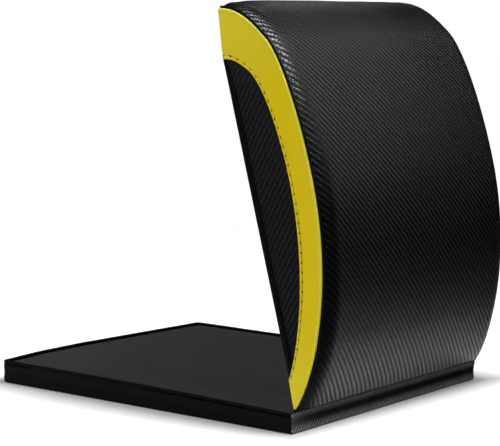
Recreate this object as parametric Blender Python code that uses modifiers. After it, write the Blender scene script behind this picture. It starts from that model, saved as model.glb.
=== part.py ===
"""A folding ab mat: a crowned foam arch joined by a sewn fold to the end of a flat foam pad.

The pad lies on the floor along +Y with its underside centre at the origin. The arch stands on the
pad's end at -Y, its flat base over the pad and its crowned face looking away from it.
"""

import math

import bmesh
import bpy
import numpy as np
from mathutils import Vector, geometry

# Overall sizes, in metres. The arch is narrower than the pad by an inset on each side
WIDTH = 0.305
PAD_LENGTH = 0.365
PAD_HEIGHT = 0.019
ARCH_INSET = 0.00425
ARCH_LENGTH = 0.3614
ARCH_RISE = 0.0692
FOLD_ANGLE = math.radians(75.1)

# Cloth thickness, and the gap left between pieces that touch
COVER = 0.0012
GAP = 0.0003

# The fold: where its axis lies inside the pad's end, its cord, and the arch's room around them
AXIS_INSET = 0.001
FOLD_CLEARANCE = 0.0004
FOLD_CORD_RADIUS = 0.0008
BASE_STEP = 0.0005

# The pad
PAD_CORNER = 0.005
PAD_PIPING_RADIUS = 0.002
PAD_TOP_SEAM = 0.0006
PAD_TOP_DROP = 0.0022
PAD_CROWN = 0.0009
WALL_ROLL = 0.003
WALL_DRAW = 0.0004
END_WALL_DRAW = 0.0024
END_WALL_DROP = 0.0008
WALL_FOOT = 0.0004
UNDERSIDE_INSET = 0.0029
PAD_FOAM_ROUNDING = 0.003

# The arch: its crowned face, its piping and its side panels
FACE_STAND = 0.0025
FACE_CROWN = 0.0045
FACE_FOOT = 0.0032
FACE_PIPING_RADIUS = 0.00175
PIPING_FOOT = 0.0045
FOAM_TIP = 0.004
PANEL_INSET = 0.0002

# The side band, its stitching and the hem under its window. The base lifts along the band's tip
BAND_FOOT = 0.028
BAND_TIP = 0.0453
BAND_WIDTH = 0.0245
STITCH_RADIUS = 0.00025
STITCH_MARGIN = 0.0032
HEM_HEIGHT = 0.0065
HEM_TIP_HEIGHT = 0.002
HEM_TAPER = 0.03

# Bezier knots and handles of the two bows seen from the side, hinge end first, as shares of
# each bow's length and rise
FACE_BOW_SHARES = (
    (0.0, 0.0),
    (0.061, 0.382),
    (0.267, 1.0),
    (0.546, 1.0),
    (0.729, 1.0),
    (0.853, 0.862),
    (0.891, 0.737),
    (0.964, 0.494),
    (0.988, 0.342),
    (1.0, 0.09),
)
WINDOW_BOW_SHARES = (
    (0.0, 0.0),
    (0.191, 0.767),
    (0.437, 1.0),
    (0.596, 1.0),
    (0.715, 1.0),
    (0.897, 0.868),
    (0.950, 0.528),
    (0.969, 0.406),
    (0.997, 0.233),
    (1.0, 0.0),
)

# Where the cushions' grids have their lines, as shares of the half width or length
CROSS_SHARES = (-1.0, -0.985, -0.95, -0.88, -0.74, -0.45, 0.0, 0.45, 0.74, 0.88, 0.95, 0.985, 1.0)
PAD_CROSS_SHARES = (-1.0, -0.95, -0.75, -0.4, 0.0, 0.4, 0.75, 0.95, 1.0)
PAD_FOAM_SHARES = (-0.6, -0.2, 0.2, 0.6)

# How sharply the crowns fall off towards their edges
CROWN_POWER = 3
CROWN_END_POWER = 8
PAD_CROWN_POWER = 4

# Counts
BOW_STEPS = 60
ARCH_ROWS = 30
EDGE_POINTS = 34
PAD_ROWS = 12
CORNER_STEPS = 4
ROLL_ROWS = 3
WALL_ROWS = 5
HEM_FOOT_POINTS = 4
HEM_TIP_POINTS = 3
TUBE_BEVEL_STEPS = 2
THREAD_BEVEL_STEPS = 1
SHARP_ANGLE = math.radians(40)

COLLECTION = "ab_mat"

# Colour and roughness of each material
MATERIALS = {
    "foam": ((0.32, 0.32, 0.30), 0.95),
    "smooth_cloth": ((0.045, 0.045, 0.046), 0.62),
    "woven_look_vinyl": ((0.02, 0.02, 0.021), 0.42),
    "smooth_vinyl": ((0.012, 0.012, 0.012), 0.38),
    "yellow_vinyl": ((0.60, 0.49, 0.025), 0.45),
    "yellow_thread": ((0.55, 0.45, 0.03), 0.7),
}

HALF_WIDTH = WIDTH / 2
HALF_LENGTH = PAD_LENGTH / 2
ARCH_HALF = HALF_WIDTH - ARCH_INSET

PIPING_Z = PAD_HEIGHT - PAD_PIPING_RADIUS
WALL_TOP = PIPING_Z - PAD_PIPING_RADIUS - GAP
END_WALL_TOP = PAD_HEIGHT - END_WALL_DROP
TOP_COVER_Z = PAD_HEIGHT - PAD_TOP_DROP
TOP_COVER_INSET = 2 * PAD_PIPING_RADIUS + PAD_TOP_SEAM
FOAM_BOTTOM = COVER + GAP

AXIS_Y = AXIS_INSET - HALF_LENGTH
AXIS_Z = END_WALL_TOP + GAP + FOLD_CORD_RADIUS
ARCH_SETBACK = AXIS_INSET + FOLD_CLEARANCE

BAND_MIDDLE = ARCH_HALF - 2 * STITCH_RADIUS - GAP - COVER / 2
PANEL_MIDDLE = BAND_MIDDLE - COVER - GAP
PANEL_INNER = PANEL_MIDDLE - COVER / 2
FACE_HALF = ARCH_HALF - 2 * FACE_PIPING_RADIUS - GAP
ARCH_FOAM_HALF = min(FACE_HALF, PANEL_INNER) - GAP
TIP_HEIGHT = FACE_BOW_SHARES[-1][1] * ARCH_RISE


class Bow:
    """A smooth open curve in the arch's side plane, walked by shares of its length and bend."""

    def __init__(self, start, length, rise, shares):
        knots = [Vector((start + along * length, up * rise, 0.0)) for along, up in shares]
        points = [knots[0]]
        for first in range(0, len(knots) - 1, 3):
            points += geometry.interpolate_bezier(*knots[first : first + 4], BOW_STEPS)[1:]
        self.points = np.array([point.to_2d() for point in points])
        steps = np.diff(self.points, axis=0)
        lengths = np.linalg.norm(steps, axis=1)
        turns = np.unwrap(np.arctan2(steps[:, 1], steps[:, 0]))
        bends = np.abs(np.diff(turns, prepend=turns[0]))
        walk = np.concatenate([[0.0], np.cumsum(lengths / lengths.sum() + bends / bends.sum())])
        self.walk = walk / walk[-1]
        tangents = np.gradient(self.points, axis=0)
        tangents /= np.linalg.norm(tangents, axis=1)[:, None]
        self.normals = np.stack([-tangents[:, 1], tangents[:, 0]], axis=1)
        self.crest = int(self.points[:, 1].argmax())

    def at(self, share, stand=0.0):
        """The point at this share of the walk, standing this far out from the curve."""
        along, up = (np.interp(share, self.walk, self.points[:, i]) for i in (0, 1))
        out_along, out_up = (np.interp(share, self.walk, self.normals[:, i]) for i in (0, 1))
        return along + stand * out_along, up + stand * out_up

    def rising_share(self, height):
        """The share where the curve first reaches this height."""
        return float(np.interp(height, self.points[: self.crest, 1], self.walk[: self.crest]))

    def falling_share(self, height):
        """The share where the curve last passes this height."""
        heights, walk = self.points[self.crest :, 1], self.walk[self.crest :]
        return float(np.interp(height, heights[::-1], walk[::-1]))

    def run(self, first, last, count, stand=0.0):
        return [self.at(share, stand) for share in np.linspace(first, last, count)]


FACE_BOW = Bow(0.0, ARCH_LENGTH, ARCH_RISE, FACE_BOW_SHARES)
WINDOW_BOW = Bow(
    BAND_FOOT, ARCH_LENGTH - BAND_FOOT - BAND_TIP, ARCH_RISE - BAND_WIDTH, WINDOW_BOW_SHARES
)


def clear_scene():
    for existing in list(bpy.data.objects):
        bpy.data.objects.remove(existing, do_unlink=True)


def make_materials():
    for name, (colour, roughness) in MATERIALS.items():
        material = bpy.data.materials.new(name)
        material.use_nodes = True
        shader = material.node_tree.nodes["Principled BSDF"]
        shader.inputs["Base Color"].default_value = (*colour, 1.0)
        shader.inputs["Roughness"].default_value = roughness
        shader.inputs["Metallic"].default_value = 0.0


def add_object(name, data, material_name, parent):
    data.materials.append(bpy.data.materials[material_name])
    item = bpy.data.objects.new(name, data)
    item.parent = parent
    bpy.data.collections[COLLECTION].objects.link(item)
    return item


def smooth(mesh):
    mesh.shade_smooth()
    mesh.set_sharp_from_angle(angle=SHARP_ANGLE)


def shell(name, columns, rows, place, material_name, parent=None):
    """A sheet of cloth laid out by place(column, row), with its outer side where place puts it."""
    mesh = bpy.data.meshes.new(name)
    grid = bmesh.new()
    bmesh.ops.create_grid(grid, x_segments=len(columns) - 1, y_segments=len(rows) - 1, size=1)
    for vertex in grid.verts:
        column = round((vertex.co.x + 1) / 2 * (len(columns) - 1))
        row = round((vertex.co.y + 1) / 2 * (len(rows) - 1))
        vertex.co = place(columns[column], rows[row])
    grid.to_mesh(mesh)
    grid.free()
    smooth(mesh)
    item = add_object(name, mesh, material_name, parent)
    cloth = item.modifiers.new("cloth", "SOLIDIFY")
    cloth.thickness = COVER
    cloth.offset = -1
    cloth.use_even_offset = True


def block(name, columns, rows, layers, place, parent=None):
    """A closed foam block: a cube cut into a grid on all sides and laid out by place."""
    mesh = bpy.data.meshes.new(name)
    solid = bmesh.new()
    bmesh.ops.create_cube(solid, size=2)
    axes = (Vector((1, 0, 0)), Vector((0, 1, 0)), Vector((0, 0, 1)))
    grids = (columns, rows, layers)
    for normal, cuts in zip(axes, grids):
        for cut in range(1, len(cuts) - 1):
            where = normal * (2 * cut / (len(cuts) - 1) - 1)
            everything = solid.verts[:] + solid.edges[:] + solid.faces[:]
            bmesh.ops.bisect_plane(solid, geom=everything, plane_co=where, plane_no=normal)
    for vertex in solid.verts:
        chosen = [
            cuts[round((vertex.co[axis] + 1) / 2 * (len(cuts) - 1))]
            for axis, cuts in enumerate(grids)
        ]
        vertex.co = place(*chosen)
    bmesh.ops.recalc_face_normals(solid, faces=solid.faces)
    solid.to_mesh(mesh)
    solid.free()
    smooth(mesh)
    add_object(name, mesh, "foam", parent)


def tube(name, points, radius, bevel_steps, material_name, parent=None):
    curve = bpy.data.curves.new(name, "CURVE")
    curve.dimensions = "3D"
    spline = curve.splines.new("POLY")
    spline.points.add(len(points) - 1)
    for target, point in zip(spline.points, points):
        target.co = (*point, 1.0)
    curve.bevel_depth = radius
    curve.bevel_resolution = bevel_steps
    curve.use_fill_caps = True
    return add_object(name, curve, material_name, parent)


def flat_piece(name, outline, material_name, parent=None):
    """A flat piece of cloth with this outline, lying in its own XY plane."""
    curve = bpy.data.curves.new(name, "CURVE")
    curve.dimensions = "2D"
    curve.fill_mode = "BOTH"
    curve.extrude = COVER / 2
    spline = curve.splines.new("POLY")
    spline.points.add(len(outline) - 1)
    for target, point in zip(spline.points, outline):
        target.co = (*point, 0.0, 1.0)
    spline.use_cyclic_u = True
    return add_object(name, curve, material_name, parent)


def onto_side(item, across):
    """Turn a piece drawn in its XY plane into the arch's side plane, this far across the arch."""
    item.rotation_euler = (math.pi / 2, 0.0, math.pi / 2)
    item.location = (across, ARCH_SETBACK, BASE_STEP)


def add_right(left, name, across):
    """Place the left-hand piece, and add the right-hand one that shares its shape."""
    onto_side(left, -across)
    right = left.copy()
    right.name = name
    bpy.data.collections[COLLECTION].objects.link(right)
    onto_side(right, across)


def side_pieces(name, outline, across, material_name, hinge):
    """A flat piece of cloth on each side of the arch."""
    left = flat_piece(name + "_left", outline, material_name, hinge)
    add_right(left, name + "_right", across)


def side_tubes(name, points, radius, bevel_steps, material_name, hinge):
    """A cord or thread on each side of the arch, flush with the arch's full width."""
    route = [(along, up, 0.0) for along, up in points]
    left = tube(name + "_left", route, radius, bevel_steps, material_name, hinge)
    add_right(left, name + "_right", ARCH_HALF - radius)


def pad_path(inset, end_inset):
    """The pad's outline in plan, from its left end at the fold round the far end and back."""
    radius = max(PAD_CORNER - inset, GAP)
    half, far = HALF_WIDTH - inset, HALF_LENGTH - inset
    points = [Vector((-half, end_inset - HALF_LENGTH, 0.0))]
    for side, first in ((-1, math.pi), (1, math.pi / 2)):
        centre = Vector((side * (half - radius), far - radius, 0.0))
        for step in range(CORNER_STEPS + 1):
            angle = first - math.pi / 2 * step / CORNER_STEPS
            points.append(centre + radius * Vector((math.cos(angle), math.sin(angle), 0.0)))
    points.append(Vector((half, end_inset - HALF_LENGTH, 0.0)))
    return points


def wall_inset(height, top, draw):
    """How far a wall lies inside the pad's outline: drawn in halfway up, rolled under at its foot."""
    if height < WALL_ROLL:
        return WALL_ROLL - math.sqrt(WALL_ROLL**2 - (WALL_ROLL - height) ** 2)
    rise_share = min((height - WALL_ROLL) / (top - COVER - WALL_ROLL), 1.0)
    return draw * math.sin(math.pi * rise_share) ** 2


def wall_back(height):
    """How far the inner side of a wall lies inside the outline where the wall isn't drawn in."""
    drop = min(max(WALL_ROLL - height, 0.0) / (WALL_ROLL - COVER), 1.0)
    return WALL_ROLL - (WALL_ROLL - COVER) * math.sqrt(1 - drop**2)


def wall_heights(top):
    """Heights of a wall's grid lines, from its foot to the upright lip along its top."""
    lip = top - COVER
    roll = [WALL_FOOT + (WALL_ROLL - WALL_FOOT) * step / ROLL_ROWS for step in range(ROLL_ROWS)]
    rise = [WALL_ROLL + (lip - WALL_ROLL) * step / WALL_ROWS for step in range(WALL_ROWS + 1)]
    return roll + rise + [top]


def pad_crown(x, y):
    across = 1 - abs(x / HALF_WIDTH) ** PAD_CROWN_POWER
    along = 1 - abs(y / HALF_LENGTH) ** PAD_CROWN_POWER
    return PAD_CROWN * across * along


def make_pad_foam():
    """A block with rounded edges, its top crowned like the cover over it."""
    half = HALF_WIDTH - WALL_DRAW - COVER - GAP
    far = HALF_LENGTH - WALL_DRAW - COVER - GAP
    near = -HALF_LENGTH + END_WALL_DRAW + COVER + GAP
    top = TOP_COVER_Z - COVER - GAP
    halves = (half, (far - near) / 2, (top - FOAM_BOTTOM) / 2)
    middle = Vector((0.0, (far + near) / 2, (top + FOAM_BOTTOM) / 2))

    def place(across, along, up):
        corner = Vector([share * side for share, side in zip((across, along, up), halves)])
        limits = [side - PAD_FOAM_ROUNDING for side in halves]
        core = Vector([max(-end, min(value, end)) for value, end in zip(corner, limits)])
        out = corner - core
        point = middle + core + out.normalized() * min(out.length, PAD_FOAM_ROUNDING)
        lift = pad_crown(point.x, point.y) * (1 + up) / 2
        return point.x, point.y, point.z + max(lift - GAP, 0.0)

    grids = []
    for side in halves:
        edge_share = 1 - PAD_FOAM_ROUNDING / side
        grids.append([-1, -edge_share, *PAD_FOAM_SHARES, edge_share, 1])
    thickness = [-1, grids[2][1], grids[2][-2], 1]
    block("pad_foam", grids[0], grids[1], thickness, place)


def make_pad_covers():
    """The cloth over and under the foam, each inside the pad's walls and piping."""
    under_cover = TOP_COVER_Z - COVER - GAP
    near = wall_inset(under_cover, END_WALL_TOP, END_WALL_DRAW) + COVER + 2 * GAP - HALF_LENGTH
    far = HALF_LENGTH - TOP_COVER_INSET

    def top_place(x_share, y_share):
        x = x_share * (HALF_WIDTH - TOP_COVER_INSET)
        y = near + y_share * (far - near)
        return x, y, TOP_COVER_Z + pad_crown(x, y)

    rows = np.linspace(0, 1, PAD_ROWS + 1)
    shell("pad_top_cover", PAD_CROSS_SHARES, rows, top_place, "smooth_cloth")

    outline = [point.to_2d() for point in pad_path(UNDERSIDE_INSET, UNDERSIDE_INSET)]
    underside = flat_piece("pad_underside_cover", outline, "woven_look_vinyl")
    underside.location.z = COVER / 2


def make_pad_walls():
    stations = list(range(len(pad_path(0.0, 0.0))))

    def side_place(station, height):
        inset = wall_inset(height, WALL_TOP, WALL_DRAW)
        point = pad_path(inset, wall_back(height) + 2 * GAP)[station]
        return point.x, point.y, height

    side_rows = wall_heights(WALL_TOP)[::-1]
    shell("pad_side_wall", stations, side_rows, side_place, "smooth_vinyl")

    def end_place(x_share, height):
        fade = (1 - x_share**CROWN_END_POWER) ** 2
        inset = wall_inset(height, END_WALL_TOP, END_WALL_DRAW * fade)
        end_half = HALF_WIDTH - wall_inset(height, END_WALL_TOP, 0.0)
        return x_share * end_half, inset - HALF_LENGTH, height

    end_rows = wall_heights(END_WALL_TOP)
    shell("pad_hinge_wall", PAD_CROSS_SHARES, end_rows, end_place, "woven_look_vinyl")


def make_pad_cords():
    """The piping round three sides of the pad's top, and the cord in the fold."""
    lift = Vector((0.0, 0.0, PIPING_Z))
    piping = [point + lift for point in pad_path(PAD_PIPING_RADIUS, COVER + GAP)]
    tube("pad_top_piping", piping, PAD_PIPING_RADIUS, TUBE_BEVEL_STEPS, "smooth_vinyl")

    reach = HALF_WIDTH - TOP_COVER_INSET
    ends = [Vector((side * reach, AXIS_Y, AXIS_Z)) for side in (-1, 1)]
    tube("fold_cord", ends, FOLD_CORD_RADIUS, TUBE_BEVEL_STEPS, "smooth_vinyl")


def in_arch(x, along, up):
    return x, ARCH_SETBACK + along, BASE_STEP + up


def base_height(along):
    """How high the arch's base lies: flat, then lifted in a straight ramp under the thin end."""
    ramp = along - (ARCH_LENGTH - BAND_TIP)
    return max(ramp, 0.0) * TIP_HEIGHT / BAND_TIP


def across_crown(x):
    return math.sqrt(max(1 - abs(x / FACE_HALF) ** CROWN_POWER, 0.0))


def face_stand(x, share):
    """How far the face cover's outer side stands out from the bow, crowned but at the hinge."""
    along = 1 - (1 - share) ** CROWN_END_POWER
    return FACE_STAND + FACE_CROWN * across_crown(x) * along


def make_arch_foam(hinge):
    seat = COVER + GAP
    first = FACE_BOW.rising_share(seat + FOAM_TIP)
    last = FACE_BOW.falling_share(TIP_HEIGHT + seat + FOAM_TIP)
    start, end = (FACE_BOW.at(share)[0] for share in (first, last))

    def place(across, row, up):
        x = across * ARCH_FOAM_HALF
        share = first + (last - first) * row
        top_along, top_up = FACE_BOW.at(share, face_stand(x, share) - COVER - 2 * GAP)
        foot_along = start + (end - start) * row
        foot_up = base_height(foot_along) + seat
        along = foot_along + (top_along - foot_along) * up
        return in_arch(x, along, foot_up + (top_up - foot_up) * up)

    rows = np.linspace(0, 1, ARCH_ROWS + 1)
    block("arch_foam", CROSS_SHARES, rows, [0, 1], place, hinge)


def make_arch_covers(hinge):
    """The crowned vinyl over the foam, and the cloth under it that ends below the vinyl's edge."""
    first = FACE_BOW.rising_share(FACE_FOOT)
    last = FACE_BOW.falling_share(TIP_HEIGHT + COVER + GAP)

    def face_place(across, share):
        x = across * FACE_HALF
        return in_arch(x, *FACE_BOW.at(share, face_stand(x, share)))

    shares = np.linspace(first, last, ARCH_ROWS + 1)
    shell("arch_face_cover", CROSS_SHARES, shares, face_place, "woven_look_vinyl", hinge)

    base_half = PANEL_INNER - GAP

    def base_place(across, row):
        x = across * base_half
        end = ARCH_LENGTH + face_stand(x, 1.0) - COVER
        along = row * (ARCH_LENGTH - BAND_TIP) if row <= 1 else end
        return in_arch(x, along, base_height(along))

    columns = CROSS_SHARES[::-1]
    shell("arch_base_cover", columns, (0, 1, 2), base_place, "smooth_cloth", hinge)


def make_arch_sides(hinge):
    """On each side: the D-shaped panel, the band over its bow, and the hem along the base."""
    panel = FACE_BOW.run(0, 1, EDGE_POINTS, -PANEL_INSET)
    panel = [(along, max(up, 0.0)) for along, up in panel]
    panel.append((ARCH_LENGTH - BAND_TIP, 0.0))
    side_pieces("arch_side_panel", panel, PANEL_MIDDLE, "woven_look_vinyl", hinge)

    band = FACE_BOW.run(0, 1, EDGE_POINTS) + WINDOW_BOW.run(1, 0, EDGE_POINTS)
    side_pieces("side_band", band, BAND_MIDDLE, "yellow_vinyl", hinge)

    rise = WINDOW_BOW.rising_share(HEM_HEIGHT)
    foot = WINDOW_BOW.run(0, rise, HEM_FOOT_POINTS, -GAP)
    tip = WINDOW_BOW.run(WINDOW_BOW.falling_share(HEM_TIP_HEIGHT), 1, HEM_TIP_POINTS, -GAP)
    foot[0] = (foot[0][0], 0.0)
    tip[-1] = (tip[-1][0], 0.0)
    full = (tip[0][0] - HEM_TAPER, foot[-1][1])
    side_pieces("hem_strip", foot + [full] + tip, BAND_MIDDLE, "smooth_cloth", hinge)


def make_arch_cords(hinge):
    """On each side: the piping between the face and the band, and the band's line of stitches."""
    start = FACE_BOW.rising_share(PIPING_FOOT)
    piping = FACE_BOW.run(start, 1, EDGE_POINTS, FACE_PIPING_RADIUS + GAP)
    side_tubes("face_piping", piping, FACE_PIPING_RADIUS, TUBE_BEVEL_STEPS, "smooth_vinyl", hinge)

    first = WINDOW_BOW.rising_share(STITCH_MARGIN)
    last = WINDOW_BOW.falling_share(STITCH_MARGIN)
    stitches = WINDOW_BOW.run(first, last, EDGE_POINTS, STITCH_MARGIN)
    side_tubes(
        "band_stitching", stitches, STITCH_RADIUS, THREAD_BEVEL_STEPS, "yellow_thread", hinge
    )


clear_scene()
bpy.context.scene.collection.children.link(bpy.data.collections.new(COLLECTION))
make_materials()

make_pad_foam()
make_pad_covers()
make_pad_walls()
make_pad_cords()

fold_hinge = bpy.data.objects.new("fold_hinge", None)
fold_hinge.location = (0.0, AXIS_Y, AXIS_Z)
fold_hinge.rotation_euler.x = FOLD_ANGLE
bpy.data.collections[COLLECTION].objects.link(fold_hinge)

make_arch_foam(fold_hinge)
make_arch_covers(fold_hinge)
make_arch_sides(fold_hinge)
make_arch_cords(fold_hinge)
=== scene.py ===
"""The looks of a folding ab mat: vinyl, cloth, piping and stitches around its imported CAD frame."""

import math

import bmesh
import bpy
import numpy as np
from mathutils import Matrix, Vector, geometry, noise


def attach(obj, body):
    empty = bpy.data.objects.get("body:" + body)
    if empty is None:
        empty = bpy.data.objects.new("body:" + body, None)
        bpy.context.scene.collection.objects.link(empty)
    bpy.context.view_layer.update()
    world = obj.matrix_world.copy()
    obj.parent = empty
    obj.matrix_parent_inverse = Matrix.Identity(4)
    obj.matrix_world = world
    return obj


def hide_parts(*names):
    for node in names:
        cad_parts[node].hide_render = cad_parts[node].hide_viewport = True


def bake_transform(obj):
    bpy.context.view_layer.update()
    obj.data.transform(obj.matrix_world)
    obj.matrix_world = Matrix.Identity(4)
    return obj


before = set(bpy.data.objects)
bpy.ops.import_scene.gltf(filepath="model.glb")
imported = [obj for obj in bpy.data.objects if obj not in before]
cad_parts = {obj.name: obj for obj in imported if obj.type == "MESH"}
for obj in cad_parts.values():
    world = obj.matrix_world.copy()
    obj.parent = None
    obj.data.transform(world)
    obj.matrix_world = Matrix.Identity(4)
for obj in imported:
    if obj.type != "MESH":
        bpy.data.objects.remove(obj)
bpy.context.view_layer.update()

# Sizes that the CAD source has too. All lengths here are in metres
WIDTH = 0.305
PAD_LENGTH = 0.365
PAD_HEIGHT = 0.019
HALF_WIDTH = WIDTH / 2
HALF_LENGTH = PAD_LENGTH / 2
ARCH_LENGTH = 0.3614
ARCH_RISE = 0.0692
FOLD_ANGLE = math.radians(75.1)
AXIS_Y = -0.1815
AXIS_Z = 0.0193
ARCH_SETBACK = 0.0014
BASE_STEP = 0.0005
COVER = 0.0012
GAP = 0.0003
PAD_CORNER = 0.005
PAD_PIPING_RADIUS = 0.002
PAD_CROWN = 0.0009
PAD_CROWN_POWER = 4
WALL_ROLL = 0.003
WALL_DRAW = 0.0004
WALL_FOOT = 0.0004
WALL_TOP = 0.0147
TOP_COVER_Z = 0.0168
TOP_COVER_INSET = 0.0046
UNDERSIDE_INSET = 0.0029
FACE_HALF = 0.14445
BAND_MIDDLE = 0.14685
PANEL_MIDDLE = 0.14535
PANEL_INSET = 0.0002
PIPING_FOOT = 0.0045
BAND_FOOT = 0.028
BAND_TIP = 0.0453
BAND_WIDTH = 0.0245
STITCH_MARGIN = 0.0032
HEM_HEIGHT = 0.0065
HEM_TIP_HEIGHT = 0.002
HEM_TAPER = 0.03
FACE_BOW_SHARES = (
    (0.0, 0.0), (0.061, 0.382), (0.267, 1.0), (0.546, 1.0), (0.729, 1.0),
    (0.853, 0.862), (0.891, 0.737), (0.964, 0.494), (0.988, 0.342), (1.0, 0.09),
)
WINDOW_BOW_SHARES = (
    (0.0, 0.0), (0.191, 0.767), (0.437, 1.0), (0.596, 1.0), (0.715, 1.0),
    (0.897, 0.868), (0.950, 0.528), (0.969, 0.406), (0.997, 0.233), (1.0, 0.0),
)
TIP_HEIGHT = FACE_BOW_SHARES[-1][1] * ARCH_RISE

# The stuffed pad's edges: (y or x, lift) along each of three sides
LEFT_LIFTS = ((-0.1825, 0.0), (-0.08, 0.0023), (0.02, 0.0036), (0.1825, 0.0040))
RIGHT_LIFTS = ((-0.1825, 0.0), (0.1825, 0.0012))
FAR_LIFTS = ((-0.1525, 0.0040), (-0.10, 0.0056), (-0.04, 0.0054), (0.1525, 0.0012))
FAR_LIFT_FROM = 0.1
LIFT_UNDER_ARCH = 0.001
BINDING_PROUD = 0.001
BINDING_SETBACK = 0.0012
SEAM_ANGLE = 4.2
PIPING_SLIM = 0.00008
CUSHION_NEAR = 0.0024
CUSHION_TUCK = 0.0012
CUSHION_FULL = 0.0004
CUSHION_BORDER = 0.012
CUSHION_DRAW = 0.0036
DRAW_REACH = 0.02

# The pad's end wall: how far it stands in at each height, and how far its right end stands out
END_WALL_TOP = 0.0193
END_WALL_HEIGHTS = (0.0, 0.0006, 0.0014, 0.0030, 0.0050, 0.0075, 0.0100, 0.0128, 0.0160, 0.0193)
END_WALL_INSETS = (0.0034, 0.0018, 0.0008, 0.0007, 0.0011, 0.0017, 0.0020, 0.0016, 0.0008, 0.0003)
END_WALL_LIP = 0.0014
LIP_POWER = 10
FLATTER_ENDS = 0.3
FLATTER_POWER = 16
END_WALL_GAP = 0.0004

# The face's section: a bevel on the left, a rolled edge on the right
FACE_FOOT = 0.0016
FACE_CROWN = 0.0005
CROWN_END_POWER = 13
FOOT_DEPTH = 0.3
LEAST_FACE = 0.0004
BEVEL_START = 0.128
BEVEL_FOOT = 0.001
BEVEL_POWER = 1.7
ROLL_START = 0.133
ROLL_ACROSS = 0.0136
ROLL_MIDDLE = 0.0036
ROLL_HEIGHT = 0.0034
ROLL_TURN = math.radians(125)
LEFT_FLARE = 0.012
RIGHT_FLARE = 0.042
FLARE_REACH = 0.05
SEAM_BORDER = 0.012

# Zones where vinyl is dull, or carries a painted highlight or a painted sheen (on the end wall also
# glossier). A ramp: where it starts, and its reach
PAINTED_HIGHLIGHT_LEVEL = 0.24
HIGHLIGHT_WALK_UP = (0.27, 0.05)
HIGHLIGHT_WALK_DOWN = (0.39, -0.03)
PAINTED_SHEEN_LEVEL = 0.19
SHEEN_WALK = (0.07, -0.07)
SHEEN_X = (-0.138, 0.025)
DULL_EDGE_SHARE = 0.75
DULL_EDGE_X = (-0.122, -0.012)
DULL_EDGE_WALK = (0.25, -0.06)
FOOT_PAINTED_SHEEN = (0.0085, -0.006)
TOP_PAINTED_SHEEN = (0.013, 0.004)

# The arch's sides
PIPING_RADIUS = 0.001
PIPING_MIDDLE = 0.1459
PIPING_END = 0.0015
LEAST_PANEL = 0.0001
PANEL_BULGE = 0.0011
BULGE_REACH = 0.007
BAND_FRONT = BAND_MIDDLE + COVER / 2 - 0.0002
BAND_BACK = BAND_MIDDLE - COVER / 2
BAND_OUTER_ROWS = (0.0, 0.0003, 0.0008, 0.0014, 0.002, 0.0026, 0.0034, 0.0045, 0.006)
BAND_INNER_ROWS = (
    0.006, 0.005, 0.0042, 0.0037, 0.0032, 0.0027, 0.0022, 0.0015, 0.0008, 0.0003, 0.0,
)
BAND_CROWN = 0.0005
BAND_ROUND_OFF = 0.0006
ENDS_PAINTED_HIGHLIGHT = 0.6
HIGHLIGHT_FOOT = (0.07, -0.07)
HIGHLIGHT_TIP_REACH = 0.1
STITCH_PITCH = 0.0083
STITCH_GAP = 0.0018
STITCH_RADIUS = 0.00035
STITCH_LIFT = 0.0003
HEM_ROWS = (0.0, 0.06, 0.15, 0.3, 0.5, 0.7, 0.85, 0.94, 1.0)
HEM_PROFILE = (-0.5, -0.1, 0.25, 0.45, 0.5, 0.45, 0.25, -0.1, -0.5)
HEM_THICK = 0.0009
BASE_OVERLAP = 0.002

# The fold
FOLD_HALF = 0.1522
STRIP_THICK = (0.0, 0.0008, 0.0003)
ROUND_IN = 0.0006
ROUND_POWER = 60
STRIP_ROWS = 31

# Soft surfaces. A wave is smooth noise: its height, the size of its features and its seed
FACE_WAVES = ((0.0005, 0.07, 3.1), (0.0002, 0.025, 7.7))
PANEL_WAVE = (0.00025, 0.03, 4.0)
BAND_WAVE = (0.0003, 0.03, 5.0)
HEM_WAVE = (0.00015, 0.012, 6.0)
BASE_WAVE = (0.0003, 0.06, 8.0)
PAD_WAVE = (0.00035, 0.06, 2.0)
PATCH_WAVE = (1.0, 0.04, 6.0)
PATCH_RAMP = (-0.3125, 0.625)
BINDING_WAVE = (0.00015, 0.012, 3.0)
SIDE_WALL_WAVE = (0.00025, 0.03, 1.0)
END_WALL_WAVE = (0.00035, 0.03, 4.4)
STRIP_WAVE = (0.0002, 0.02, 2.2)
# Puckers: their pitch, how much they wander, and the size and seed of that
FACE_PUCKER = (0.0125, 5, 0.03, 1.3)
BAND_PUCKER = (0.007, 4, 0.02, 2.0)
PAD_PUCKER = (0.014, 2 * math.pi * 0.012 / 0.014, 0.05, 9.0)
# A dent: its depth, its middle and its reach, both as x and walk
CROWN_DENT = (0.0016, (0.105, 0.372), (0.05, 0.012))
CORNER_DENT = (0.0022, (-0.127, 0.390), (0.014, 0.020))
# A swell: its height, its middle's place or distance from an edge, and its radius
PAINTED_HIGHLIGHT_LINE = (1.0, -0.1405, 0.0037)
DULL_MIDDLE = (0.45, 0.135, 0.05)
PUCKER_LINE = (0.00012, 0.006, 0.006)
LEFT_PAINTED_SHEEN = (0.25, -1.0, 0.12)
BAND_RIM = (0.0003, 0.0014, 0.0014)
BAND_FOLD = (0.0004, 0.0012, 0.0011)
BAND_GROOVE = (-0.00045, STITCH_MARGIN, 0.0006)
GROOVE_SHADE = (0.15, STITCH_MARGIN, 0.0008)
RIM_SHADE = (0.3, 0.0036, 0.0012)
RIM_PAINTED_HIGHLIGHT = (1.0, 0.0008, 0.0032)
BASE_BORDER = (0.0004, 0.0045, 0.0009)
NEAR_FOLD = (0.0005, 0.03, 0.05)
CUSHION_FALL = (0.0013, 0.0, 0.0016)
BINDING_PINCH = (0.00035, 0.0, 0.35)
UNDER_BORDER = (0.0004, 0.0, 0.001)

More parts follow.
